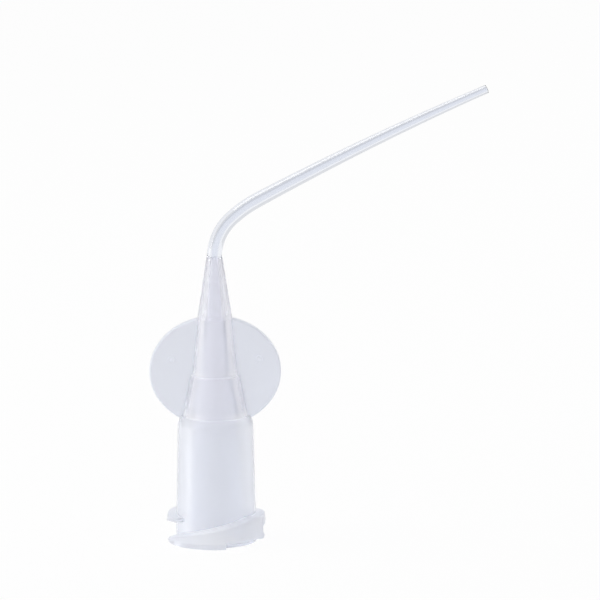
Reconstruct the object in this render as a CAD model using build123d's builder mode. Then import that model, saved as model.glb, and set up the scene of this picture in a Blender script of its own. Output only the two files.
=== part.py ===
"""Dispensing needle tip: a one-piece moulding with a locking taper hub, a thin grip tab
and a tapered, pre-bent capillary nozzle.

The hub stands on its open end. The origin is the centre of that end face, +Z runs up the
hub towards the nozzle, the nozzle bends over towards +X, and the grip tab lies in the XZ
plane. All sizes are millimetres and degrees.
"""
from build123d import *
from math import asin, atan2, cos, degrees, hypot, radians, sin, tan
import os

# ---------------------------------------------------------------- driving dimensions
# hub barrel
hub_od = 6.45               # outside diameter at the open end
hub_draft = 1.3             # draft of the barrel, degrees a side
barrel_height = 9.35        # end face to where the shoulder starts to round over
shoulder_radius = 1.75      # soft rounding at the top of the barrel
shoulder_turn = 31.0        # how far the shoulder rounds over, degrees
rim_chamfer = 0.08          # broken outer edge of the open end

# cones between the hub and the capillary, each set back in a small step
step_fillet = 0.16          # hollow rounding between a cone and the step under it
lower_cone_height = 3.27    # from the shoulder to the second step
step_od = 3.98              # edge of the second step, at the top of the lower cone
upper_cone_height = 9.53    # from the second step to the nose
break_height = 4.6          # from the second step to where the upper cone narrows faster
break_od = 2.77
nose_od = 1.32              # diameter at the nose, where the capillary leaves

# capillary
capillary_od = 1.20         # at its root and round the bend
tip_od = 0.68               # at the outlet
tip_rounding = 0.07
bend_radius = 4.3           # on the centre line
bend_angle = 47.0
ease_radius = 10.0          # the bend opens out before the run
ease_angle = 14.6
run_length = 20.42          # from the bend to the outlet
run_droop = 4.9             # further turn spread along the run, degrees
run_sections = 7            # sections that the tapering run is lofted through

# flow path
socket_mouth_d = 4.30       # taper socket at the end face
socket_taper = 0.06         # loss of diameter per length of the locking taper
socket_depth = 8.6
socket_lead_in = 0.12       # chamfer at the mouth
chamber_wall = 0.95         # wall of the lower cone at its top
chamber_foot_d = 3.5        # lower chamber where it leaves the socket's floor
upper_bore_d = 1.84         # upper bore at the second step
nose_bore_d = 0.56          # upper bore at the nose
capillary_bore_d = 0.50     # round the bend
tip_bore_d = 0.30           # at the outlet

# locking lugs: a two-start thread, cut off level above
lug_od = 7.88               # at the foot
lug_draft = 2.0             # draft of the crest, degrees
lug_lead = 5.0              # rise of the thread in one turn
lug_start = 184.0           # where the front lug starts, degrees round from +X
lug_sweep = 226.0           # how far each lug runs round the hub, degrees
lug_rise = 0.52             # height of a lug's upper edge where it starts
lug_top = 2.32              # the lugs are level at this height
lug_root_height = 1.55      # thickness of the thread at the barrel
lug_crest_height = 1.15     # thickness of the thread at its crest
lug_root_depth = 0.5        # how far a lug's root reaches into the barrel's wall
lug_foot_sweep = 98.0       # stretch of a lug that stands level with the end face
lug_ledge_sweeps = (158.0, 134.0)  # front and rear lug: after this, open underneath
lug_ledge_height = 0.52     # underside of the lug between its foot and the open thread
lug_lead_in = 0.12          # how far the foot is drawn in at the end face
lug_lead_in_height = 0.42
lug_crest_rounding = 0.12   # rounded upper edge of the crest
lug_end_rounding = 0.45     # plan view rounding of a lug's two ends
lug_overrun = 3.0           # how far its cutters run on past a lug's ends, degrees
lug_end_fall = 6.0          # slope of the top over the lug's last stretch, degrees
lug_end_fall_start = 181.0  # where along the lug that slope starts

# grip tab
tab_width = 10.5
tab_height = 8.95
tab_thickness = 0.75
tab_centre_height = 13.80
tab_chamfer = 0.11
pip_d = 0.6                 # ejector marks on the tab
pip_height = 0.08
pip_spacing = 6.94
pip_rise = 1.02             # above the tab's centre

# ---------------------------------------------------------------- worked-out places
hub_r = hub_od / 2
barrel_top_r = hub_r - barrel_height * tan(radians(hub_draft))
shoulder_end_angle = hub_draft + shoulder_turn
shoulder_drop_r = shoulder_radius * (cos(radians(hub_draft)) - cos(radians(shoulder_end_angle)))
shoulder_rise = shoulder_radius * (sin(radians(shoulder_end_angle)) - sin(radians(hub_draft)))
shoulder_z = barrel_height + shoulder_rise
shoulder_r = barrel_top_r - shoulder_drop_r

step_z = shoulder_z + lower_cone_height
step_r = step_od / 2
break_z = step_z + break_height
break_r = break_od / 2
nose_z = step_z + upper_cone_height
nose_r = nose_od / 2

lug_r = lug_od / 2
lug_inner_r = hub_r - lug_root_depth
lug_flank_slope = (lug_root_height - lug_crest_height) / 2 / (lug_r - hub_r)

socket_floor_r = socket_mouth_d / 2 - socket_depth * socket_taper / 2
chamber_foot_z = socket_depth + socket_floor_r - chamber_foot_d / 2
chamber_top_r = step_r - chamber_wall
upper_bore_z = step_z + chamber_top_r - upper_bore_d / 2


def half_angle(top, edge):
    """Half angle of the cone that leaves top and runs into the rounding inside a step's edge."""
    (top_r, top_z), (edge_r, edge_z) = top, edge
    wider, lower = edge_r - top_r, top_z - edge_z - step_fillet
    return degrees(atan2(wider, lower) - asin(step_fillet / hypot(wider, lower)))


# ---------------------------------------------------------------- capillary route
with BuildLine(Plane.XZ) as bend_route:
    first_arc = JernArc((0, nose_z), (0, 1), bend_radius, -bend_angle)
    JernArc(first_arc @ 1, first_arc % 1, ease_radius, -ease_angle)

with BuildLine(Plane.XZ) as run_route:
    JernArc(
        bend_route.line @ 1,
        bend_route.line % 1,
        run_length / radians(run_droop),
        -run_droop,
    )

root_plane = Plane.XY.offset(nose_z)


def sections_along_run(bend_d, outlet_d):
    """Circles along the run, from the diameter at the bend to the one at the outlet."""
    sections = []
    for n in range(run_sections):
        along = n / (run_sections - 1)
        with BuildSketch(Plane(run_route.line @ along, z_dir=run_route.line % along)) as section:
            Circle((bend_d + (outlet_d - bend_d) * along) / 2)
        sections.append(section.sketch)
    return sections


# ---------------------------------------------------------------- locking lugs
def thread_piece(start, turn, top, bottom):
    """The space between two flanks of the thread, from angle start on through turn.

    A flank is its height at the barrel, measured from the lug's upper edge, and its slope.
    """
    inner_r, outer_r = lug_inner_r - 0.2, lug_r + 0.2
    start_z = lug_rise + lug_lead * start / 360
    (top_z, top_slope), (bottom_z, bottom_slope) = top, bottom
    with BuildPart() as piece:
        with BuildLine() as path:
            Helix(
                pitch=lug_lead,
                height=lug_lead * turn / 360,
                radius=hub_r,
                center=(0, 0, start_z),
            )
        with BuildSketch(Plane(origin=(0, 0, start_z), x_dir=(1, 0, 0), z_dir=(0, -1, 0))):
            with BuildLine():
                Polyline(
                    (inner_r, top_z + top_slope * (inner_r - hub_r)),
                    (outer_r, top_z + top_slope * (outer_r - hub_r)),
                    (outer_r, bottom_z + bottom_slope * (outer_r - hub_r)),
                    (inner_r, bottom_z + bottom_slope * (inner_r - hub_r)),
                    close=True,
                )
            make_face()
        sweep(path=path.line, is_frenet=True)
    return piece.part.rotate(Axis.Z, start)


def plan_sector(start, end, outer_r):
    """A sector of the plan view, from the axis out to a radius."""
    with BuildSketch() as sector:
        with BuildLine():
            rim = CenterArc((0, 0), outer_r, start, end - start)
            Polyline(rim @ 1, (0, 0), rim @ 0)
        make_face()
    return sector.sketch


def lug(ledge_sweep):
    """One lug, starting at +X, with its underside open from ledge_sweep on."""
    with BuildPart() as body:
        # a ring with the lug's section, drawn in at the foot
        with BuildSketch(Plane.XZ) as ring:
            with BuildLine():
                Polyline(
                    (lug_inner_r, 0),
                    (lug_r - lug_lead_in, 0),
                    (lug_r, lug_lead_in_height),
                    (lug_r - (lug_top - lug_lead_in_height) * tan(radians(lug_draft)), lug_top),
                    (lug_inner_r, lug_top),
                    close=True,
                )
            make_face()
            fillet(ring.vertices().group_by(Axis.Y)[-1].sort_by(Axis.X)[-1], lug_crest_rounding)
        revolve(axis=Axis.Z)

        # the stretch of it that the lug takes up, with rounded ends
        with BuildSketch() as stretch:
            add(plan_sector(0, lug_sweep, lug_r))
            outer_corners = stretch.vertices().filter_by(lambda corner: corner.center().length > 1)
            fillet(outer_corners, lug_end_rounding)
        extrude(amount=lug_top, mode=Mode.INTERSECT)

        # the rising upper flank
        add(
            thread_piece(
                -lug_overrun,
                lug_sweep + 2 * lug_overrun,
                (0, -lug_flank_slope),
                (-2 * lug_lead, 0),
            ),
            mode=Mode.INTERSECT,
        )
        # the ledge between the foot and the open thread
        ledge = plan_sector(lug_foot_sweep, lug_sweep + lug_overrun, 2 * lug_r)
        extrude(ledge, amount=lug_ledge_height, mode=Mode.SUBTRACT)
        # the open thread
        add(
            thread_piece(
                ledge_sweep,
                lug_sweep + lug_overrun - ledge_sweep,
                (-lug_root_height, lug_flank_slope),
                (-2 * lug_lead, 0),
            ),
            mode=Mode.SUBTRACT,
        )
        # the falling top of the last stretch
        with Locations(Location((0, 0, lug_top), (0, 0, lug_end_fall_start))):
            with Locations(Location((0, 0, 0), (-lug_end_fall, 0, 0))):
                Box(
                    4 * lug_r,
                    4 * lug_r,
                    lug_r,
                    align=(Align.CENTER, Align.MIN, Align.MIN),
                    mode=Mode.SUBTRACT,
                )
    return body.part


# ---------------------------------------------------------------- grip tab
with BuildPart() as tab:
    with BuildSketch(Plane.XZ):
        with Locations((0, tab_centre_height)):
            Ellipse(tab_width / 2, tab_height / 2)
    extrude(amount=tab_thickness / 2, both=True)
    chamfer(tab.edges(), tab_chamfer)

    # ejector marks on its front
    with BuildSketch(Plane.XZ.offset(tab_thickness / 2)):
        with Locations((0, tab_centre_height + pip_rise)):
            with GridLocations(pip_spacing, 0, 2, 1):
                Circle(pip_d / 2)
    extrude(amount=pip_height)


# ---------------------------------------------------------------- the moulding
with BuildPart() as needle_tip:
    # barrel, shoulder and the two stepped cones
    with BuildSketch(Plane.XZ):
        with BuildLine():
            Polyline(
                (0, nose_z),
                (0, 0),
                (hub_r - rim_chamfer, 0),
                (hub_r, rim_chamfer),
                (barrel_top_r, barrel_height),
            )
            JernArc(
                (barrel_top_r, barrel_height),
                (-sin(radians(hub_draft)), cos(radians(hub_draft))),
                shoulder_radius,
                shoulder_turn,
            )
            lower_step = JernArc(
                (shoulder_r, shoulder_z),
                (-1, 0),
                step_fillet,
                half_angle((step_r, step_z), (shoulder_r, shoulder_z)) - 90,
            )
            Line(lower_step @ 1, (step_r, step_z))
            upper_step = JernArc(
                (step_r, step_z),
                (-1, 0),
                step_fillet,
                half_angle((break_r, break_z), (step_r, step_z)) - 90,
            )
            Polyline(upper_step @ 1, (break_r, break_z), (nose_r, nose_z), (0, nose_z))
        make_face()
    revolve(axis=Axis.Z)

    # grip tab, on the plane that the nozzle bends in
    add(tab.part)

    # locking lugs
    for n, ledge_sweep in enumerate(lug_ledge_sweeps):
        add(lug(ledge_sweep).rotate(Axis.Z, lug_start + 360 * n / len(lug_ledge_sweeps)))

    # capillary: constant round the bend, then tapering to the outlet
    with BuildSketch(root_plane):
        Circle(capillary_od / 2)
    sweep(path=bend_route.line)
    loft(sections_along_run(capillary_od, tip_od), ruled=True)
    outlet = needle_tip.faces().sort_by(Axis.X)[-1]
    fillet(outlet.edges(), tip_rounding)

    # flow path: taper socket, chamber and upper bore
    with BuildSketch(Plane.XZ):
        with BuildLine():
            Polyline(
                (0, 0),
                (socket_mouth_d / 2 + socket_lead_in, 0),
                (socket_mouth_d / 2 - socket_lead_in * socket_taper / 2, socket_lead_in),
                (socket_floor_r, socket_depth),
                (chamber_foot_d / 2, chamber_foot_z),
                (chamber_top_r, step_z),
                (upper_bore_d / 2, upper_bore_z),
                (nose_bore_d / 2, nose_z),
                (0, nose_z),
                close=True,
            )
        make_face()
    revolve(axis=Axis.Z, mode=Mode.SUBTRACT)

    # flow path: capillary bore
    with BuildSketch(root_plane):
        Circle(capillary_bore_d / 2)
    sweep(path=bend_route.line, mode=Mode.SUBTRACT)
    loft(sections_along_run(capillary_bore_d, tip_bore_d), ruled=True, mode=Mode.SUBTRACT)

needle_tip.part.label = "needle_tip"

os.makedirs("parts", exist_ok=True)
export_step(needle_tip.part, "parts/needle_tip.step")
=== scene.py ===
"""Looks of the dispensing needle tip: one translucent polypropylene moulding, on a pale floor.

The moulding is built as one closed skin. Two lines run up the hub and on round the nozzle, one
with the outside radius and one with the radius of the flow path. Geometry Nodes sweep rings
along both, join the grip tab and the locking lugs on, and take the flow path out. Sizes are
millimetres and degrees, and the part's own frame is kept.
"""

import math

import bmesh
import bpy
from mathutils import Matrix, Vector


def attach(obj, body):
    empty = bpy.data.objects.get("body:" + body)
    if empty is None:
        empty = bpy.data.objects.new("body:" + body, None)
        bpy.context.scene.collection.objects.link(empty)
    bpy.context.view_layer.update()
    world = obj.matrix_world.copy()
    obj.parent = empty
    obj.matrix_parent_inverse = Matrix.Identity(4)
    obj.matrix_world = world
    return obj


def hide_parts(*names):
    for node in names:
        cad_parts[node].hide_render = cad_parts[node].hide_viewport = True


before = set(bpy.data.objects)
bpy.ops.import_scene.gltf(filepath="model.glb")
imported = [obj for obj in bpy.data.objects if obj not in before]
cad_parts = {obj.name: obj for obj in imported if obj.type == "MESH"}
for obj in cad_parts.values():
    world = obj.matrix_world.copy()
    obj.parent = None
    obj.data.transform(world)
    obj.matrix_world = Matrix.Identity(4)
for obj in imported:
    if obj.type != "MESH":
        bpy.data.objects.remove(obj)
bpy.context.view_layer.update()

MM = 0.001

# ---------------------------------------------------------------- sizes of the moulding
HUB_R, HUB_DRAFT, BARREL_HEIGHT, RIM_BREAK = 3.225, 1.3, 9.35, 0.08
RIM_MIDDLE = 0.29  # share of the rim's break at the middle of its rounding
SHOULDER_R, SHOULDER_TURN = 1.75, 31.0
STEP_FILLET = 0.16
STEP_R, STEP_ABOVE_SHOULDER = 1.99, 3.27
BREAK_R, BREAK_ABOVE_STEP = 1.385, 4.6
NOSE_R, NOSE_ABOVE_STEP = 0.66, 9.53
NOSE_EASE = ((0.005, 0.15), (-0.01, 0.08), (-0.03, 0.02))  # past the nose's radius, under its top

CAPILLARY_R, OUTLET_R, OUTLET_ROUNDING = 0.60, 0.34, 0.07
CAPILLARY_FOOT_RISE, CAPILLARY_FOOT_SPREAD = 0.05, 0.007  # its first ring, past the nose
BEND_RADIUS, BEND_ANGLE = 4.3, 47.0
EASE_RADIUS, EASE_ANGLE = 10.0, 14.6
RUN_LENGTH, RUN_DROOP = 20.42, 4.9
BEND_SPACING, RUN_SPACING = 3.0, 0.25  # degrees of turn from ring to ring

SOCKET_R, SOCKET_TAPER, SOCKET_DEPTH, SOCKET_LEAD_IN = 2.15, 0.06, 8.6, 0.12
CHAMBER_WALL, CHAMBER_FOOT_R = 0.95, 1.75
UPPER_BORE_R, NOSE_BORE_R, CAPILLARY_BORE_R, OUTLET_BORE_R = 0.92, 0.28, 0.25, 0.15
OUTLET_OVERRUN = 0.3  # how far the flow path is cut past the outlet

LUG_R, LUG_DRAFT, LUG_ROOT_DEPTH = 3.94, 2.0, 0.5
LUG_LEAD, LUG_START, LUG_SWEEP, LUG_RISE, LUG_TOP = 5.0, 184.0, 226.0, 0.52, 2.32
LUG_ROOT_HEIGHT, LUG_CREST_HEIGHT = 1.55, 1.15
LUG_FOOT_SWEEP, LUG_LEDGE_SWEEPS, LUG_LEDGE_HEIGHT = 98.0, (158.0, 134.0), 0.52
LUG_LEAD_IN, LUG_LEAD_IN_HEIGHT = 0.12, 0.42
LUG_CREST_ROUNDING, LUG_END_ROUNDING = 0.12, 0.45
LUG_ROUNDING_SHARE, LUG_EDGE_SHARE = 0.4, 0.1  # shares of the height, where that is low
LUG_END_FALL, LUG_END_FALL_START = 6.0, 181.0
LUG_SEAM, LUG_THINNEST = 0.005, 0.025
LUG_TRIM, LUG_STAGE_GAP = 0.25, 0.02  # degrees round the hub

TAB_HALF_WIDTH, TAB_HALF_HEIGHT, TAB_THICKNESS, TAB_HEIGHT = 5.25, 4.475, 0.75, 13.80
TAB_ROUNDING = 0.15
PIP_R, PIP_HEIGHT, PIP_SPACING, PIP_RISE, PIP_ROOT = 0.3, 0.08, 6.94, 1.02, 0.1
PIP_PROFILE = ((1.0, 0.5), (0.94, 0.9), (0.8, 1.0), (0.6, 0.7), (0.25, 0.3))  # of radius and height

SEAM = 0.01  # keeps a boundary off the ring of points beside it
RING_SEGMENTS, TAB_SEGMENTS, PIP_SEGMENTS = 144, 180, 32
ARC_STEPS, RIM_STEPS, TAB_RIM_STEPS, LUG_TOP_STEPS = 8, 5, 6, 4
WELD = 0.0005  # points nearer than this become one
CREASE_ANGLE = 16.5  # edges sharper than this show as creases
FLAT_FACE = 0.99999  # a face whose normal is this near to the Y axis is flat


# ---------------------------------------------------------------- lines up the moulding
def step_rounding(edge_r, edge_z, top_r, top_z):
    """Radius and height along the hollow rounding from a step's edge up to the cone above it."""
    wider, lower = edge_r - top_r, top_z - edge_z - STEP_FILLET
    half_angle = math.atan2(wider, lower) - math.asin(STEP_FILLET / math.hypot(wider, lower))
    turn = math.pi / 2 - half_angle
    points = []
    for n in range(ARC_STEPS + 1):
        angle = turn * n / ARC_STEPS
        points.append((
            edge_r - STEP_FILLET * math.sin(angle),
            edge_z + STEP_FILLET * (1 - math.cos(angle)),
        ))
    return points


def hub_outline():
    """Radius and height of the outside, from the open end up to the nose, and three heights on it."""
    draft = math.radians(HUB_DRAFT)
    barrel_top_r = HUB_R - BARREL_HEIGHT * math.tan(draft)
    points = [
        (HUB_R - RIM_BREAK, 0.0),
        (HUB_R - RIM_BREAK * RIM_MIDDLE, RIM_BREAK * RIM_MIDDLE),
        (HUB_R, RIM_BREAK),
    ]
    for n in range(1, ARC_STEPS):
        points.append((HUB_R + (barrel_top_r - HUB_R) * n / ARC_STEPS, BARREL_HEIGHT * n / ARC_STEPS))
    for n in range(ARC_STEPS + 1):
        angle = draft + math.radians(SHOULDER_TURN) * n / ARC_STEPS
        points.append((
            barrel_top_r - SHOULDER_R * (math.cos(draft) - math.cos(angle)),
            BARREL_HEIGHT + SHOULDER_R * (math.sin(angle) - math.sin(draft)),
        ))
    shoulder_r, shoulder_z = points.pop()
    step_z = shoulder_z + STEP_ABOVE_SHOULDER
    break_z, nose_z = step_z + BREAK_ABOVE_STEP, step_z + NOSE_ABOVE_STEP
    points += step_rounding(shoulder_r, shoulder_z, STEP_R, step_z)
    points += step_rounding(STEP_R, step_z, BREAK_R, break_z)
    points.append((BREAK_R, break_z))
    points += [(NOSE_R + past, nose_z - under) for past, under in NOSE_EASE]
    return points, shoulder_z, step_z, nose_z


HUB_OUTLINE, SHOULDER_Z, STEP_Z, NOSE_Z = hub_outline()
BREAK_Z = STEP_Z + BREAK_ABOVE_STEP


def nozzle_line():
    """Centre line of the nozzle from the nose: place in x and z, and length run so far."""
    x, z, heading, length = 0.0, NOSE_Z, math.pi / 2, 0.0
    points = [(x, z, length)]
    arcs = (
        (BEND_RADIUS, BEND_ANGLE, BEND_SPACING),
        (EASE_RADIUS, EASE_ANGLE, BEND_SPACING),
        (RUN_LENGTH / math.radians(RUN_DROOP), RUN_DROOP, RUN_SPACING),
    )
    for radius, angle, step in arcs:
        count = math.ceil(angle / step)
        turn = math.radians(angle) / count
        for n in range(count):
            chord = 2 * radius * math.sin(turn / 2)
            x += chord * math.cos(heading - turn / 2)
            z += chord * math.sin(heading - turn / 2)
            heading -= turn
            length += radius * turn
            points.append((x, z, length))
    return points, heading


NOZZLE_LINE, OUTLET_HEADING = nozzle_line()
BEND_LENGTH = NOZZLE_LINE[-1][2] - RUN_LENGTH


def along_run(length, bend_r, outlet_r):
    """Radius at a length along the nozzle: even round the bend, then tapering to the outlet."""
    return bend_r + (outlet_r - bend_r) * max(0.0, length - BEND_LENGTH) / RUN_LENGTH


def outside_line():
    """Place and radius of the outside, from the open end to the outlet's rounded rim."""
    points = [(0.0, z, r) for r, z in HUB_OUTLINE]
    points.append((0.0, NOSE_Z + CAPILLARY_FOOT_RISE, CAPILLARY_R + CAPILLARY_FOOT_SPREAD))
    points += [(x, z, along_run(length, CAPILLARY_R, OUTLET_R)) for x, z, length in NOZZLE_LINE[1:-1]]
    end_x, end_z = NOZZLE_LINE[-1][:2]
    for n in range(RIM_STEPS + 1):
        angle = math.pi / 2 * n / RIM_STEPS
        back = OUTLET_ROUNDING * (1 - math.sin(angle))
        inset = OUTLET_ROUNDING * (1 - math.cos(angle))
        points.append((
            end_x - back * math.cos(OUTLET_HEADING),
            end_z - back * math.sin(OUTLET_HEADING),
            OUTLET_R - inset,
        ))
    return points


def flow_line():
    """Place and radius of the flow path, from under the socket's mouth to past the outlet."""
    floor_r = SOCKET_R - SOCKET_DEPTH * SOCKET_TAPER / 2
    chamber_top_r = STEP_R - CHAMBER_WALL
    lead_in_r = SOCKET_R - SOCKET_LEAD_IN * SOCKET_TAPER / 2
    points = [(0.0, -SOCKET_LEAD_IN, SOCKET_R + 2 * SOCKET_LEAD_IN), (0.0, SOCKET_LEAD_IN, lead_in_r)]
    for n in range(1, ARC_STEPS):
        z = SOCKET_DEPTH * n / ARC_STEPS
        points.append((0.0, z, SOCKET_R - z * SOCKET_TAPER / 2))
    points += [
        (0.0, SOCKET_DEPTH, floor_r),
        (0.0, SOCKET_DEPTH + floor_r - CHAMBER_FOOT_R, CHAMBER_FOOT_R),
        (0.0, STEP_Z, chamber_top_r),
        (0.0, STEP_Z + chamber_top_r - UPPER_BORE_R, UPPER_BORE_R),
        (0.0, NOSE_Z - SEAM, NOSE_BORE_R),
    ]
    for x, z, length in NOZZLE_LINE:
        points.append((x, z, along_run(length, CAPILLARY_BORE_R, OUTLET_BORE_R)))
    end_x, end_z = NOZZLE_LINE[-1][:2]
    points.append((
        end_x + OUTLET_OVERRUN * math.cos(OUTLET_HEADING),
        end_z + OUTLET_OVERRUN * math.sin(OUTLET_HEADING),
        OUTLET_BORE_R,
    ))
    return points


def line_object(name, points):
    """A curve through the points, which holds the radius at each of them."""
    data = bpy.data.curves.new(name, "CURVE")
    data.dimensions = "3D"
    spline = data.splines.new("POLY")
    spline.points.add(len(points) - 1)
    for point, (x, z, radius) in zip(spline.points, points):
        point.co = (x * MM, 0.0, z * MM, 1.0)
        point.radius = radius * MM
    line = bpy.data.objects.new(name, data)
    bpy.context.scene.collection.objects.link(line)
    return line


# ---------------------------------------------------------------- pieces joined onto the skin
def loft_object(name, rings):
    """A closed mesh through rings of as many points each, in millimetres."""
    mesh = bmesh.new()
    rows = [[mesh.verts.new(Vector(point) * MM) for point in ring] for ring in rings]
    count = len(rows[0])
    for low, high in zip(rows, rows[1:]):
        for n in range(count):
            mesh.faces.new((low[n], low[(n + 1) % count], high[(n + 1) % count], high[n]))
    mesh.faces.new(reversed(rows[0]))
    mesh.faces.new(rows[-1])
    bmesh.ops.recalc_face_normals(mesh, faces=mesh.faces)
    data = bpy.data.meshes.new(name)
    mesh.to_mesh(data)
    mesh.free()
    piece = bpy.data.objects.new(name, data)
    bpy.context.scene.collection.objects.link(piece)
    return piece


def lug_object(name, start, ledge_sweep):
    """One locking lug, as sections round the hub from where it starts to where it runs out."""
    inner_r = HUB_R - LUG_ROOT_DEPTH
    flank_slope = (LUG_ROOT_HEIGHT - LUG_CREST_HEIGHT) / 2 / (LUG_R - HUB_R)

    def top(r, sweep):
        rising = LUG_RISE + LUG_LEAD * sweep / 360 - flank_slope * (r - HUB_R)
        past_fall = max(0.0, math.sin(math.radians(sweep - LUG_END_FALL_START))) * r
        return min(LUG_TOP, rising, LUG_TOP - past_fall * math.tan(math.radians(LUG_END_FALL)))

    def open_flank(r, sweep):
        return LUG_RISE + LUG_LEAD * sweep / 360 - LUG_ROOT_HEIGHT + flank_slope * (r - HUB_R)

    def bottom(r, sweep, stage):
        return (LUG_SEAM, LUG_LEDGE_HEIGHT, open_flank(r, sweep))[stage]

    end = LUG_SWEEP
    while top(LUG_R, end) - open_flank(LUG_R, end) < LUG_THINNEST:
        end -= LUG_TRIM

    def crest(sweep):
        from_end = math.radians(min(sweep, end - sweep)) * LUG_R
        short = max(0.0, LUG_END_ROUNDING - from_end)
        return LUG_R - LUG_END_ROUNDING + math.sqrt(LUG_END_ROUNDING**2 - short**2)

    def section(sweep, stage):
        crest_r = crest(sweep)
        foot_r = crest_r - (LUG_LEAD_IN if stage == 0 else 0.0)
        low = bottom(foot_r, sweep, stage)
        upper_r = crest_r - (LUG_TOP - LUG_LEAD_IN_HEIGHT) * math.tan(math.radians(LUG_DRAFT))
        high = top(upper_r, sweep)
        rounding = min(LUG_CREST_ROUNDING, LUG_ROUNDING_SHARE * (high - low))
        least = LUG_EDGE_SHARE * (high - low)
        edge_z = min(max(LUG_LEAD_IN_HEIGHT, low + least), high - rounding - least)
        outline = [(inner_r, bottom(inner_r, sweep, stage)), (foot_r, low), (crest_r, edge_z)]
        for n in range(ARC_STEPS + 1):
            angle = math.pi / 2 * n / ARC_STEPS
            r = upper_r - rounding * (1 - math.cos(angle))
            outline.append((r, top(r, sweep) - rounding * (1 - math.sin(angle))))
        for n in range(1, LUG_TOP_STEPS + 1):
            r = upper_r - rounding + (inner_r - upper_r + rounding) * n / LUG_TOP_STEPS
            outline.append((r, top(r, sweep)))
        angle = math.radians(start + sweep)
        return [(r * math.cos(angle), r * math.sin(angle), z) for r, z in outline]

    ends = [
        math.degrees(LUG_END_ROUNDING * (1 - math.cos(math.pi / 2 * n / ARC_STEPS)) / LUG_R)
        for n in range(ARC_STEPS)
    ]
    past_end = math.ceil(math.degrees(LUG_END_ROUNDING / LUG_R))
    middle = list(range(past_end, int(end) - past_end + 1))
    sweeps = ends + middle + [end - angle for angle in reversed(ends)]
    sections = []
    for sweep in sweeps:
        stage = (sweep > LUG_FOOT_SWEEP) + (sweep > ledge_sweep)
        sections.append(section(sweep, stage))
        if sweep in (LUG_FOOT_SWEEP, ledge_sweep):
            sections.append(section(sweep + LUG_STAGE_GAP, stage + 1))
    return loft_object(name, sections)


def oval(x, y, z, half_width, half_height, segments):
    """Points round an ellipse that faces along Y."""
    turns = [2 * math.pi * n / segments for n in range(segments)]
    return [(x + half_width * math.cos(turn), y, z + half_height * math.sin(turn)) for turn in turns]


def tab_object():
    """The grip tab: an elliptical disc in the XZ plane with a rounded rim."""
    profile = []
    for n in range(TAB_RIM_STEPS + 1):
        angle = math.pi / 2 * n / TAB_RIM_STEPS
        inset = TAB_ROUNDING * (1 - math.sin(angle))
        profile.append((inset, -TAB_THICKNESS / 2 + TAB_ROUNDING * (1 - math.cos(angle))))
    profile += [(inset, -y) for inset, y in reversed(profile)]
    rings = [
        oval(0.0, y, TAB_HEIGHT, TAB_HALF_WIDTH - inset, TAB_HALF_HEIGHT - inset, TAB_SEGMENTS)
        for inset, y in profile
    ]
    return loft_object("grip_tab", rings)


def pip_object(name, x):
    """An ejector mark: a low round pip with a soft edge and a dimple, on the front of the tab."""
    front = -TAB_THICKNESS / 2
    profile = [(PIP_R, front + PIP_ROOT)]
    profile += [(PIP_R * across, front - PIP_HEIGHT * out) for across, out in PIP_PROFILE]
    return loft_object(name, [oval(x, y, TAB_HEIGHT + PIP_RISE, r, r, PIP_SEGMENTS) for r, y in profile])


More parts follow.
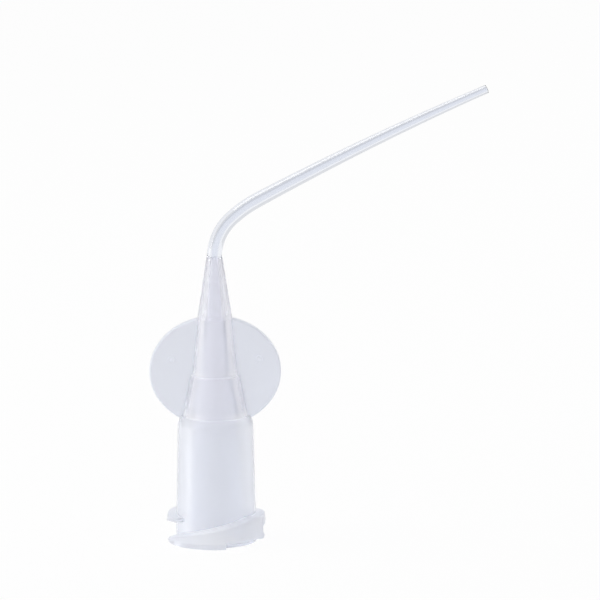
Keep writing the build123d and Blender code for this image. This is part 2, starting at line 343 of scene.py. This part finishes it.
# ---------------------------------------------------------------- the moulding's tree
def moulding_tree():
    """Sweeps rings along both lines, joins the extra pieces on and takes the flow path out."""
    tree = bpy.data.node_groups.new("moulded_tip", "GeometryNodeTree")
    tree.interface.new_socket("Outside line", in_out="INPUT", socket_type="NodeSocketGeometry")
    for name in ("Flow line", "Grip tab", "Front lug", "Rear lug", "Left pip", "Right pip"):
        tree.interface.new_socket(name, in_out="INPUT", socket_type="NodeSocketObject")
    tree.interface.new_socket("Ring segments", in_out="INPUT", socket_type="NodeSocketInt")
    for name in ("Tab", "Lug", "Hub", "Cone", "Nose", "Capillary"):
        tree.interface.new_socket(f"{name} plastic", in_out="INPUT", socket_type="NodeSocketMaterial")
    for name in ("Crease angle", "Cone from", "Nose from", "Capillary from"):
        tree.interface.new_socket(name, in_out="INPUT", socket_type="NodeSocketFloat")
    tree.interface.new_socket("Moulding", in_out="OUTPUT", socket_type="NodeSocketGeometry")
    node, link = tree.nodes.new, tree.links.new
    given, made = node("NodeGroupInput"), node("NodeGroupOutput")

    ring, radius = node("GeometryNodeCurvePrimitiveCircle"), node("GeometryNodeInputRadius")
    ring.inputs["Radius"].default_value = 1.0
    link(given.outputs["Ring segments"], ring.inputs["Resolution"])

    def made_of(name, geometry, chosen=None):
        plastic = node("GeometryNodeSetMaterial")
        link(geometry, plastic.inputs["Geometry"])
        link(given.outputs[name], plastic.inputs["Material"])
        if chosen:
            link(chosen, plastic.inputs["Selection"])
        return plastic.outputs["Geometry"]

    place, height = node("GeometryNodeInputPosition"), node("ShaderNodeSeparateXYZ")
    link(place.outputs["Position"], height.inputs["Vector"])

    def above(name):
        upper = node("FunctionNodeCompare")
        upper.data_type, upper.operation = "FLOAT", "GREATER_THAN"
        link(height.outputs["Z"], upper.inputs["A"])
        link(given.outputs[name], upper.inputs["B"])
        return upper.outputs["Result"]

    def swept(line):
        sweep = node("GeometryNodeCurveToMesh")
        sweep.inputs["Fill Caps"].default_value = True
        link(line, sweep.inputs["Curve"])
        link(ring.outputs["Curve"], sweep.inputs["Profile Curve"])
        link(radius.outputs["Radius"], sweep.inputs["Scale"])
        moulding = made_of("Hub plastic", sweep.outputs["Mesh"])
        moulding = made_of("Cone plastic", moulding, above("Cone from"))
        return made_of("Nose plastic", moulding, above("Nose from"))

    def geometry_of(name):
        info = node("GeometryNodeObjectInfo")
        link(given.outputs[name], info.inputs["Object"])
        return info.outputs["Geometry"]

    union = node("GeometryNodeMeshBoolean")
    union.operation, union.solver = "UNION", "EXACT"
    link(swept(given.outputs["Outside line"]), union.inputs["Mesh 2"])
    for name in ("Grip tab", "Front lug", "Rear lug", "Left pip", "Right pip"):
        plastic = "Lug plastic" if name.endswith("lug") else "Tab plastic"
        link(made_of(plastic, geometry_of(name)), union.inputs["Mesh 2"])
    hollow = node("GeometryNodeMeshBoolean")
    hollow.operation, hollow.solver = "DIFFERENCE", "EXACT"
    link(union.outputs["Mesh"], hollow.inputs["Mesh 1"])
    link(swept(geometry_of("Flow line")), hollow.inputs["Mesh 2"])

    weld = node("GeometryNodeMergeByDistance")
    weld.inputs["Distance"].default_value = WELD * MM
    link(hollow.outputs["Mesh"], weld.inputs["Geometry"])
    # the tab's two flat faces stay flat, and the rest is smooth up to its creases
    normal, split = node("GeometryNodeInputNormal"), node("ShaderNodeSeparateXYZ")
    level = node("ShaderNodeMath")
    level.operation = "ABSOLUTE"
    curved = node("FunctionNodeCompare")
    curved.data_type, curved.operation = "FLOAT", "LESS_THAN"
    curved.inputs["B"].default_value = FLAT_FACE
    link(normal.outputs["Normal"], split.inputs["Vector"])
    link(split.outputs["Y"], level.inputs[0])
    link(level.outputs[0], curved.inputs["A"])
    smooth = node("GeometryNodeSetShadeSmooth")
    link(weld.outputs["Geometry"], smooth.inputs["Geometry"])
    link(curved.outputs["Result"], smooth.inputs["Shade Smooth"])
    angle = node("GeometryNodeInputMeshEdgeAngle")
    sharp = node("FunctionNodeCompare")
    sharp.data_type, sharp.operation = "FLOAT", "GREATER_THAN"
    link(angle.outputs["Unsigned Angle"], sharp.inputs["A"])
    link(given.outputs["Crease angle"], sharp.inputs["B"])
    creases = node("GeometryNodeSetShadeSmooth")
    creases.domain = "EDGE"
    creases.inputs["Shade Smooth"].default_value = False
    link(smooth.outputs["Geometry"], creases.inputs["Geometry"])
    link(sharp.outputs["Result"], creases.inputs["Selection"])

    realize = node("GeometryNodeRealizeInstances")
    link(creases.outputs["Geometry"], realize.inputs["Geometry"])
    moulding = made_of("Capillary plastic", realize.outputs["Geometry"], above("Capillary from"))
    link(moulding, made.inputs["Moulding"])
    return tree


def moulded_tip(plastics):
    """The whole moulding as one plain mesh."""
    outside = line_object("outside_line", outside_line())
    helpers = {
        "Flow line": line_object("flow_line", flow_line()),
        "Grip tab": tab_object(),
        "Front lug": lug_object("front_lug", LUG_START, LUG_LEDGE_SWEEPS[0]),
        "Rear lug": lug_object("rear_lug", LUG_START + 180, LUG_LEDGE_SWEEPS[1]),
        "Left pip": pip_object("left_pip", -PIP_SPACING / 2),
        "Right pip": pip_object("right_pip", PIP_SPACING / 2),
    }
    modifier = outside.modifiers.new("Moulding", "NODES")
    modifier.node_group = moulding_tree()
    settings = {
        **helpers,
        **{f"{name} plastic": plastic for name, plastic in plastics.items()},
        "Ring segments": RING_SEGMENTS,
        "Crease angle": math.radians(CREASE_ANGLE),
        "Cone from": (SHOULDER_Z + SEAM) * MM,
        "Nose from": BREAK_Z * MM,
        "Capillary from": (NOSE_Z + SEAM) * MM,
    }
    for socket in modifier.node_group.interface.items_tree:
        if socket.name in settings:
            modifier[socket.identifier] = settings[socket.name]
    shown = outside.evaluated_get(bpy.context.evaluated_depsgraph_get())
    mesh = bpy.data.meshes.new_from_object(shown)
    mesh.name = "moulded_tip"
    for helper in (outside, *helpers.values()):
        bpy.data.objects.remove(helper)
    tip = bpy.data.objects.new("moulded_tip", mesh)
    bpy.context.scene.collection.objects.link(tip)
    return tip


# ---------------------------------------------------------------- nodes used more than once
WHITE = (1.0, 1.0, 1.0, 1.0)


def maths(tree, operation, *values):
    """A sum on the values, each a number or a socket."""
    step = tree.nodes.new("ShaderNodeMath")
    step.operation = operation
    for socket, value in zip(step.inputs, values):
        if isinstance(value, (int, float)):
            socket.default_value = value
        else:
            tree.links.new(value, socket)
    return step.outputs[0]


def soft_edge(tree, value, start, stop):
    """Nought at the start and one at the stop, with a smooth change between."""
    edge = tree.nodes.new("ShaderNodeMapRange")
    edge.interpolation_type = "SMOOTHSTEP"
    edge.inputs["From Min"].default_value = start
    edge.inputs["From Max"].default_value = stop
    tree.links.new(value, edge.inputs["Value"])
    return edge


def blend(tree, share, first, second):
    """The second colour by its share over the first."""
    mix = tree.nodes.new("ShaderNodeMix")
    mix.data_type = "RGBA"
    socket = {socket.identifier: socket for socket in (*mix.inputs, *mix.outputs)}
    tree.links.new(share, socket["Factor_Float"])
    tree.links.new(first, socket["A_Color"])
    tree.links.new(second, socket["B_Color"])
    return socket["Result_Color"]


def seen_by(tree, *kinds):
    """One where a ray of one of the kinds looks, and nought for the rest."""
    path = tree.nodes.new("ShaderNodeLightPath")
    seen = path.outputs[f"Is {kinds[0]} Ray"]
    for kind in kinds[1:]:
        seen = maths(tree, "MAXIMUM", seen, path.outputs[f"Is {kind} Ray"])
    return seen


def either(tree, share, first, second):
    """The second shader by its share over the first."""
    mix = tree.nodes.new("ShaderNodeMixShader")
    tree.links.new(share, mix.inputs["Fac"])
    tree.links.new(first.outputs[0], mix.inputs[1])
    tree.links.new(second.outputs[0], mix.inputs[2])
    return mix


# ---------------------------------------------------------------- plastic
POLYPROPYLENE_IOR = 1.49
GRAIN_DEPTH, GRAIN_STRENGTH = 0.01, 0.1
SHADOW_TINT = (0.92, 0.93, 0.96, 1.0)
PAINTED_HIGHLIGHT_SIDES = (0.2, 1.8)  # distances from the middle where the painted highlight starts and is full
PAINTED_HIGHLIGHT_UNDER = 0.15  # share of its reach that the painted highlight goes under a step
ROUGHNESS_LEAST, ROUGHNESS_SPREAD = 0.85, 0.3


def moulded_skin():
    """A moulded surface: textured low down and polished above, with faint clouds in the melt."""
    tree = bpy.data.node_groups.new("moulded_skin", "ShaderNodeTree")

    def socket(name, way, kind, value):
        made = tree.interface.new_socket(name, in_out=way, socket_type=f"NodeSocket{kind}")
        made.default_value = value

    for name, value in (
        ("Textured roughness", 0.2),
        ("Polished roughness", 0.05),
        ("Polished from", BREAK_Z * MM),
        ("Grain size", 0.12 * MM),
        ("Cloud size", 2.0 * MM),
        ("Clouds", 0.3),
        ("Shoulder", SHOULDER_Z * MM),
        ("Step", STEP_Z * MM),
        # reach and strength of the painted highlight above the steps
        ("Painted highlight reach", 0.6 * MM),
        ("Painted highlight", 0.0),
        ("Roughness", 0.0),
        ("Height", 0.0),
    ):
        socket(name, "OUTPUT" if name in ("Roughness", "Height") else "INPUT", "Float", value)
    # the last colour is that of the painted highlight above the steps
    for name in ("Colour", "Cloud colour", "Painted highlight colour"):
        socket(name, "INPUT", "Color", WHITE)
    socket("Colour", "OUTPUT", "Color", WHITE)
    node, link = tree.nodes.new, tree.links.new
    given, made = node("NodeGroupInput").outputs, node("NodeGroupOutput").inputs
    place, split = node("ShaderNodeTexCoord"), node("ShaderNodeSeparateXYZ")
    link(place.outputs["Object"], split.inputs["Vector"])
    height = split.outputs["Z"]

    def noise(size, detail):
        texture = node("ShaderNodeTexNoise")
        texture.inputs["Detail"].default_value = detail
        link(place.outputs["Object"], texture.inputs["Vector"])
        link(maths(tree, "DIVIDE", 1.0, size), texture.inputs["Scale"])
        return texture.outputs["Fac"]

    clouds, grain = noise(given["Cloud size"], 3.0), noise(given["Grain size"], 1.0)
    cloudy = maths(tree, "MULTIPLY", clouds, given["Clouds"])
    colour = blend(tree, cloudy, given["Colour"], given["Cloud colour"])

    # a painted highlight: the colour is lightened just above each step, most of all at the two sides
    off_middle = maths(tree, "ABSOLUTE", split.outputs["X"])
    side = soft_edge(tree, off_middle, *(distance * MM for distance in PAINTED_HIGHLIGHT_SIDES))
    highlight_share = 0.0
    for name in ("Shoulder", "Step"):
        above = maths(tree, "SUBTRACT", height, given[name])
        up = maths(tree, "DIVIDE", above, given["Painted highlight reach"])
        fading = maths(tree, "SUBTRACT", 1.0, maths(tree, "ABSOLUTE", up))
        near = maths(
            tree, "MULTIPLY",
            maths(tree, "GREATER_THAN", up, -PAINTED_HIGHLIGHT_UNDER),
            maths(tree, "MAXIMUM", fading, 0.0),
        )
        highlight_share = maths(tree, "MAXIMUM", highlight_share, near)
    highlight_share = maths(tree, "MULTIPLY", highlight_share, side.outputs["Result"])
    highlight_share = maths(tree, "MULTIPLY", highlight_share, given["Painted highlight"])
    link(blend(tree, highlight_share, colour, given["Painted highlight colour"]), made["Colour"])

    polished = maths(tree, "GREATER_THAN", height, given["Polished from"])
    finish = node("ShaderNodeMix")
    link(polished, finish.inputs["Factor"])
    link(given["Textured roughness"], finish.inputs["A"])
    link(given["Polished roughness"], finish.inputs["B"])
    # a little glossier where the melt pressed harder on the mould
    pressed = maths(tree, "ADD", ROUGHNESS_LEAST, maths(tree, "MULTIPLY", clouds, ROUGHNESS_SPREAD))
    link(maths(tree, "MULTIPLY", finish.outputs["Result"], pressed), made["Roughness"])
    link(maths(tree, "MULTIPLY", grain, maths(tree, "SUBTRACT", 1.0, polished)), made["Height"])
    return tree


MOULDED_SKIN = moulded_skin()


# the last argument is the strength of a painted highlight above the steps
def polypropylene(name, transmission, colour, cloud_colour, roughness=0.2, polish=0.05, painted_highlight=0.0):
    """Natural polypropylene, milky and half clear. Lamps shine through it."""
    material = bpy.data.materials.new(name)
    material.use_nodes = True
    tree = material.node_tree
    plastic, link = tree.nodes["Principled BSDF"], tree.links.new
    plastic.inputs["IOR"].default_value = POLYPROPYLENE_IOR
    plastic.inputs["Transmission Weight"].default_value = transmission
    skin = tree.nodes.new("ShaderNodeGroup")
    skin.node_tree = MOULDED_SKIN
    for socket, value in (
        ("Textured roughness", roughness),
        ("Polished roughness", polish),
        ("Painted highlight", painted_highlight),
        ("Colour", (*colour, 1.0)),
        ("Cloud colour", (*cloud_colour, 1.0)),
    ):
        skin.inputs[socket].default_value = value
    bump, passed = tree.nodes.new("ShaderNodeBump"), tree.nodes.new("ShaderNodeBsdfTransparent")
    bump.inputs["Strength"].default_value = GRAIN_STRENGTH
    bump.inputs["Distance"].default_value = GRAIN_DEPTH * MM
    passed.inputs["Color"].default_value = SHADOW_TINT
    link(skin.outputs["Colour"], plastic.inputs["Base Color"])
    link(skin.outputs["Roughness"], plastic.inputs["Roughness"])
    link(skin.outputs["Height"], bump.inputs["Height"])
    link(bump.outputs["Normal"], plastic.inputs["Normal"])
    shown = either(tree, seen_by(tree, "Shadow"), plastic, passed)
    link(shown.outputs[0], tree.nodes["Material Output"].inputs["Surface"])
    return material


PLASTICS = {
    "Tab": polypropylene(
        "tab_polypropylene", 0.5, (0.885, 0.905, 0.965), (0.92, 0.935, 0.985), roughness=0.3),
    "Lug": polypropylene(
        "lug_polypropylene", 0.5, (0.84, 0.855, 0.90), (0.88, 0.885, 0.925), roughness=0.3),
    "Hub": polypropylene(
        "hub_polypropylene", 0.65, (0.885, 0.90, 0.945), (0.92, 0.93, 0.97)),
    # the cones get a painted highlight above the shoulder and the step
    "Cone": polypropylene(
        "cone_polypropylene", 0.72, (0.885, 0.89, 0.94), (0.92, 0.92, 0.965), painted_highlight=0.9),
    "Nose": polypropylene(
        "nose_polypropylene", 0.74, (0.885, 0.89, 0.94), (0.92, 0.92, 0.965), polish=0.2),
    "Capillary": polypropylene(
        "clear_polypropylene", 1.0, (0.86, 0.88, 0.93), (0.88, 0.90, 0.95)),
}
tip = moulded_tip(PLASTICS)
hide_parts("needle_tip")
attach(tip, "root")


# ---------------------------------------------------------------- floor, light and camera
FLOOR_REACH, FLOOR_DROP = 600.0, 0.03
FLOOR_COLOUR = (0.9, 0.9, 0.9, 1.0)
FLOOR_GLOW, FLOOR_GLOW_SEEN = 0.35, 0.9  # shares of glow in its light, the second where it is seen
LANE_APEX, LANE_TURN, LANE_EDGE, LANE_CORE = 2.2, 2.0, 20.0, 6.0  # where it starts, and degrees
LANE_GLARE = 2.4

SKY_STRENGTH = 0.58
BACKDROP_COLOUR = (0.8, 0.8, 0.8, 1.0)
BACKDROP_FROM, BACKDROP_FULL = 0.6, 0.95  # how far a way points along Y
BACKDROP_SIDES = 0.35

LAMP_AIM, LAMP_AWAY = 12.0, 360.0

CAMERA_RISE, CAMERA_ROLL = math.radians(12.0), 0.0063
CAMERA_AIM_ACROSS, CAMERA_AIM_UP = 6.672, 19.144
FRAME_WIDTH, LENS, SENSOR = 47.885, 1500.0, 36.0  # the width seen at the aim
CAMERA_SEES_FROM, CAMERA_SEES_TO = 0.1, 20.0


def floor_material():
    """Nearly white where it is looked at, with the shadow kept and a lane of glare to the left."""
    material = bpy.data.materials.new("pale_floor")
    material.use_nodes = True
    tree = material.node_tree
    node, link = tree.nodes.new, tree.links.new
    tree.nodes.clear()
    matte, glow = node("ShaderNodeBsdfDiffuse"), node("ShaderNodeEmission")
    matte.inputs["Color"].default_value = FLOOR_COLOUR
    glow.inputs["Color"].default_value = WHITE

    # the lane is seen only where the moulding mirrors the floor
    place, split = node("ShaderNodeTexCoord"), node("ShaderNodeSeparateXYZ")
    link(place.outputs["Object"], split.inputs["Vector"])
    forward = maths(tree, "ADD", split.outputs["Y"], LANE_APEX * MM)
    left = maths(tree, "SUBTRACT", -LANE_APEX * MM, split.outputs["X"])
    turn = maths(tree, "ADD", maths(tree, "ARCTAN2", forward, left), math.radians(LANE_TURN))
    off_lane = maths(tree, "ABSOLUTE", turn)
    lane = soft_edge(tree, off_lane, math.radians(LANE_EDGE), math.radians(LANE_CORE))
    lane.inputs["To Max"].default_value = LANE_GLARE
    mirrored = maths(tree, "SUBTRACT", seen_by(tree, "Glossy"), seen_by(tree, "Transmission"))
    mirrored = maths(tree, "MAXIMUM", mirrored, 0.0)
    glare = maths(tree, "MULTIPLY", mirrored, lane.outputs["Result"])
    link(maths(tree, "ADD", 1.0, glare), glow.inputs["Strength"])

    seen = seen_by(tree, "Camera", "Glossy", "Transmission")
    share = maths(tree, "MAXIMUM", maths(tree, "MULTIPLY", seen, FLOOR_GLOW_SEEN), FLOOR_GLOW)
    shown = either(tree, share, matte, glow)
    link(shown.outputs[0], node("ShaderNodeOutputMaterial").inputs["Surface"])
    return material


def floor():
    """A flat floor, a hair under the moulding's open end."""
    mesh = bmesh.new()
    bmesh.ops.create_grid(mesh, x_segments=1, y_segments=1, size=FLOOR_REACH * MM)
    data = bpy.data.meshes.new("floor")
    mesh.to_mesh(data)
    mesh.free()
    data.materials.append(floor_material())
    ground = bpy.data.objects.new("floor", data)
    ground.location.z = -FLOOR_DROP * MM
    bpy.context.scene.collection.objects.link(ground)


def world_light():
    """Even light all round, with a white backdrop in front of and behind the part."""
    world = bpy.data.worlds.new("studio")
    bpy.context.scene.world = world
    world.use_nodes = True
    tree = world.node_tree
    node, link = tree.nodes.new, tree.links.new
    sky = tree.nodes["Background"]
    backdrop, white = node("ShaderNodeBackground"), node("ShaderNodeBackground")
    sky.inputs["Color"].default_value = white.inputs["Color"].default_value = WHITE
    sky.inputs["Strength"].default_value = SKY_STRENGTH
    backdrop.inputs["Color"].default_value = BACKDROP_COLOUR

    # the backdrop is dimmer to the two sides, but only in mirrored light
    way, split = node("ShaderNodeTexCoord"), node("ShaderNodeSeparateXYZ")
    link(way.outputs["Generated"], split.inputs["Vector"])
    ahead = maths(tree, "ABSOLUTE", split.outputs["Y"])
    spread = soft_edge(tree, ahead, BACKDROP_FROM, BACKDROP_FULL)
    sides = maths(tree, "MAXIMUM", seen_by(tree, "Transmission"), BACKDROP_SIDES)
    link(sides, spread.inputs["To Min"])
    link(spread.outputs["Result"], backdrop.inputs["Strength"])

    lit = either(tree, seen_by(tree, "Glossy", "Transmission"), sky, backdrop)
    shown = either(tree, seen_by(tree, "Camera"), lit, white)
    link(shown.outputs[0], tree.nodes["World Output"].inputs["Surface"])


def soft_lamp(name, turn, rise, size, power, mirrored=True):
    """A softbox aimed at the part, turned to the right of the camera side and raised, in degrees."""
    turn, rise = math.radians(turn), math.radians(rise)
    way = Vector((math.sin(turn) * math.cos(rise), -math.cos(turn) * math.cos(rise), math.sin(rise)))
    data = bpy.data.lights.new(name, "AREA")
    data.shape, data.size, data.size_y, data.energy = "RECTANGLE", size[0] * MM, size[1] * MM, power
    lamp = bpy.data.objects.new(name, data)
    lamp.location = way * LAMP_AWAY * MM + Vector((0.0, 0.0, LAMP_AIM * MM))
    lamp.rotation_mode = "QUATERNION"
    lamp.rotation_quaternion = way.to_track_quat("Z", "Y")
    lamp.visible_camera = lamp.visible_transmission = False
    lamp.visible_glossy = mirrored
    bpy.context.scene.collection.objects.link(lamp)


def camera():
    """A long lens, a little above the part, looking along +Y."""
    right, up = Vector((1, 0, 0)), Vector((0, math.sin(CAMERA_RISE), math.cos(CAMERA_RISE)))
    across = right * math.cos(CAMERA_ROLL) - up * math.sin(CAMERA_ROLL)
    upwards = up * math.cos(CAMERA_ROLL) + right * math.sin(CAMERA_ROLL)
    back = across.cross(upwards)
    aim = (across * CAMERA_AIM_ACROSS + upwards * CAMERA_AIM_UP) * MM
    data = bpy.data.cameras.new("camera")
    data.lens, data.sensor_width = LENS, SENSOR
    data.clip_start, data.clip_end = CAMERA_SEES_FROM, CAMERA_SEES_TO
    distance = FRAME_WIDTH * MM * LENS / SENSOR
    seen_from = bpy.data.objects.new("camera", data)
    axes = Matrix((across, upwards, back)).transposed().to_4x4()
    seen_from.matrix_world = Matrix.Translation(aim + back * distance) @ axes
    bpy.context.scene.collection.objects.link(seen_from)
    bpy.context.scene.camera = seen_from


floor()
world_light()
soft_lamp("left_fill", -88, 10, (200, 200), 0.25, mirrored=False)
soft_lamp("left_strip", -72, 4, (50, 100), 0.05)
soft_lamp("high_left_softbox", -90, 62, (220, 220), 0.5)
soft_lamp("back_right_softbox", 130, 25, (120, 120), 0.22)
camera()
bpy.context.scene.view_settings.view_transform = "Standard"
